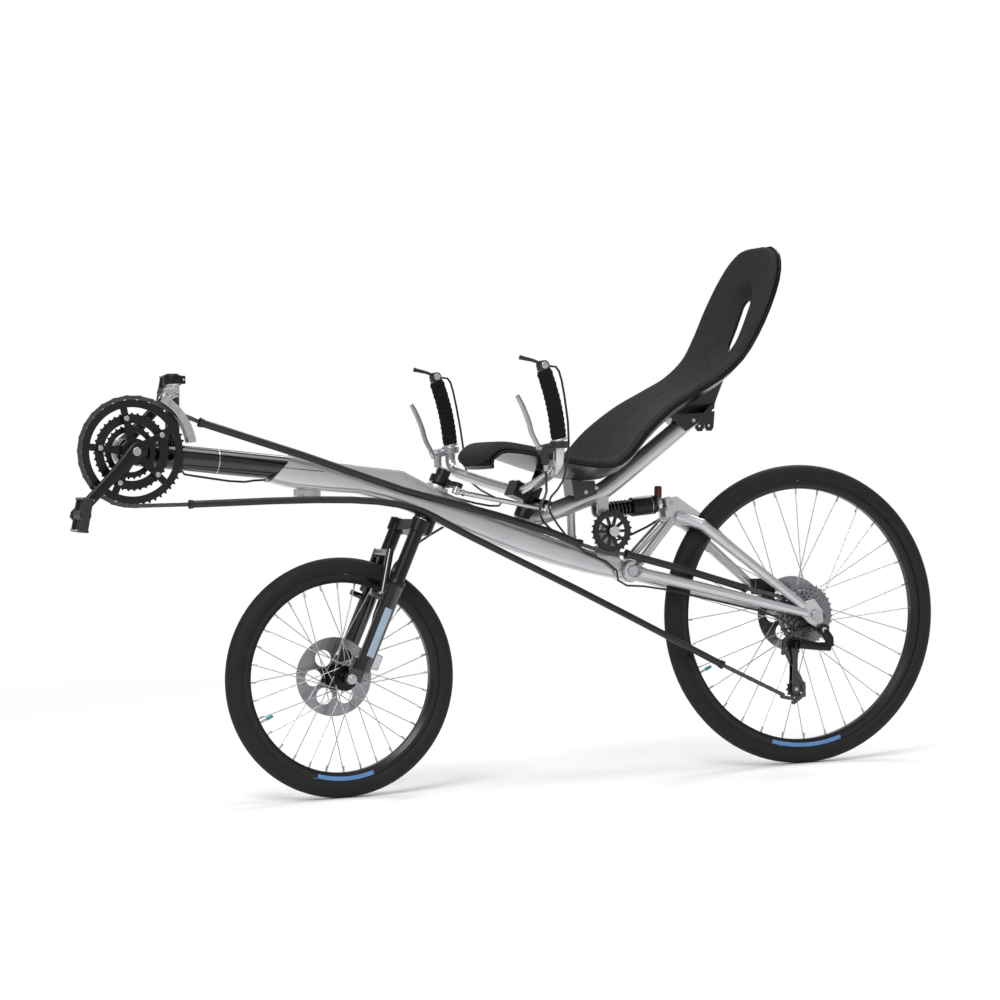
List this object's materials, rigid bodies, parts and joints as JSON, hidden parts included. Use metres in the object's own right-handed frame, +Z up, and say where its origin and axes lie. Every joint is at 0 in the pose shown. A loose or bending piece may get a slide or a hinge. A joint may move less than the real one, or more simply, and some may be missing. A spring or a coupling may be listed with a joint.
{
  "type": "recumbent bicycle",
  "caption": "Short-wheelbase recumbent bicycle with a reclined shell seat, under-seat handlebar linked to the fork, boom-mounted cranks, chain tubes, rear suspension and disc brakes.",
  "frame": {"origin": "the place on the seat pad where the rider's hips rest, on the middle plane", "axes": "-X towards the front of the bicycle, +Y towards the side away from the chain, +Z up"},
  "size_m": [1.9315, 0.62, 1.1026],
  "materials": {
    "frame_paint": "satin silver paint",
    "black_paint": "satin black paint",
    "bare_steel": "brushed",
    "bare_alloy": "satin",
    "black_alloy": "black anodised",
    "shell_plastic": "glossy black",
    "pad_foam": "open-cell foam under mesh",
    "grip_rubber": "matte",
    "tyre_rubber": "matte",
    "tube_plastic": "matte black",
    "lever_plastic": "matte dark grey",
    "idler_plastic": "matte black"
  },
  "bodies": {
    "frame": {"main_frame": "frame_paint", "boom": "black_paint", "derailleur_post": "black_paint", "front_derailleur": "bare_steel", "seat_shell": "shell_plastic", "seat_pad": "pad_foam", "seat_brackets": "black_paint", "handlebar_post": "black_alloy", "swingarm": "frame_paint", "suspension_bolts": "bare_steel", "shock_absorber": "black_alloy", "rear_axle": "bare_steel", "rear_caliper": "black_alloy", "idler_axle": "bare_steel", "chain": "bare_steel", "drive_tube_front": "tube_plastic", "drive_tube_rear": "tube_plastic", "return_tube": "tube_plastic", "rear_derailleur": "black_alloy", "rear_brake_hose": "tube_plastic", "front_brake_hose": "tube_plastic", "shift_cable_rear": "tube_plastic", "shift_cable_front": "tube_plastic"},
    "fork": {"fork_crown": "black_alloy", "fork_lowers": "black_alloy", "steering_arm": "black_alloy", "front_axle": "bare_steel", "front_caliper": "bare_alloy"},
    "handlebar": {"handlebar_stem": "black_alloy", "handlebar": "bare_alloy", "grip_left": "grip_rubber", "grip_right": "grip_rubber", "brake_lever_left": "lever_plastic", "brake_lever_right": "lever_plastic", "shift_lever_left": "lever_plastic", "shift_lever_right": "lever_plastic"},
    "tie_rod": {"tie_rod": "bare_steel"},
    "front_wheel": {"front_tyre": "tyre_rubber", "front_rim": "black_alloy", "front_spokes": "bare_steel", "front_hub": "black_alloy", "front_rotor": "bare_steel"},
    "rear_wheel": {"rear_tyre": "tyre_rubber", "rear_rim": "black_alloy", "rear_spokes": "bare_steel", "rear_hub": "black_alloy", "cassette": "bare_steel", "rear_rotor": "bare_steel"},
    "crankset": {"cranks": "black_alloy", "chainrings": "bare_alloy"},
    "pedal_left": {"pedal_left": "lever_plastic"},
    "pedal_right": {"pedal_right": "lever_plastic"},
    "chain_idler": {"chain_idler": "idler_plastic"}
  },
  "joints": [
    {"name": "steer", "type": "hinge", "parent": "frame", "child": "fork", "pos_m": [-0.36491, 0, -0.08495], "axis": [0.4226, 0, 0.9063], "range_deg": [-28, 28]},
    {"name": "handlebar_turn", "type": "hinge", "parent": "frame", "child": "handlebar", "pos_m": [-0.135, 0, -0.059], "axis": [0.4226, 0, 0.9063], "range_deg": [-28, 28], "deforming": ["rear_brake_hose", "front_brake_hose", "shift_cable_front", "shift_cable_rear"]},
    {"name": "tie_rod_turn", "type": "hinge", "parent": "fork", "child": "tie_rod", "pos_m": [-0.31466, -0.056, -0.02452], "axis": [0.4226, 0, 0.9063], "range_deg": [-28, 28]},
    {"name": "front_wheel_spin", "type": "hinge", "parent": "fork", "child": "front_wheel", "pos_m": [-0.562, 0, -0.4035], "axis": [0, 1, 0], "continuous": true},
    {"name": "rear_wheel_spin", "type": "hinge", "parent": "frame", "child": "rear_wheel", "pos_m": [0.48, 0, -0.327], "axis": [0, 1, 0], "continuous": true},
    {"name": "crank_spin", "type": "hinge", "parent": "frame", "child": "crankset", "pos_m": [-0.99091, 0, 0.06205], "axis": [0, 1, 0], "continuous": true},
    {"name": "pedal_left_spin", "type": "hinge", "parent": "crankset", "child": "pedal_left", "pos_m": [-1.11306, -0.11, -0.05619], "axis": [0, 1, 0], "continuous": true},
    {"name": "pedal_right_spin", "type": "hinge", "parent": "crankset", "child": "pedal_right", "pos_m": [-0.86876, 0.11, 0.18029], "axis": [0, 1, 0], "continuous": true},
    {"name": "idler_spin", "type": "hinge", "parent": "frame", "child": "chain_idler", "pos_m": [0.022, -0.054, -0.132], "axis": [0, 1, 0], "continuous": true}
  ],
  "couplings": [
    {"joint": "handlebar_turn", "follows": "steer", "ratio": 1},
    {"joint": "tie_rod_turn", "follows": "steer", "ratio": -1}
  ]
}
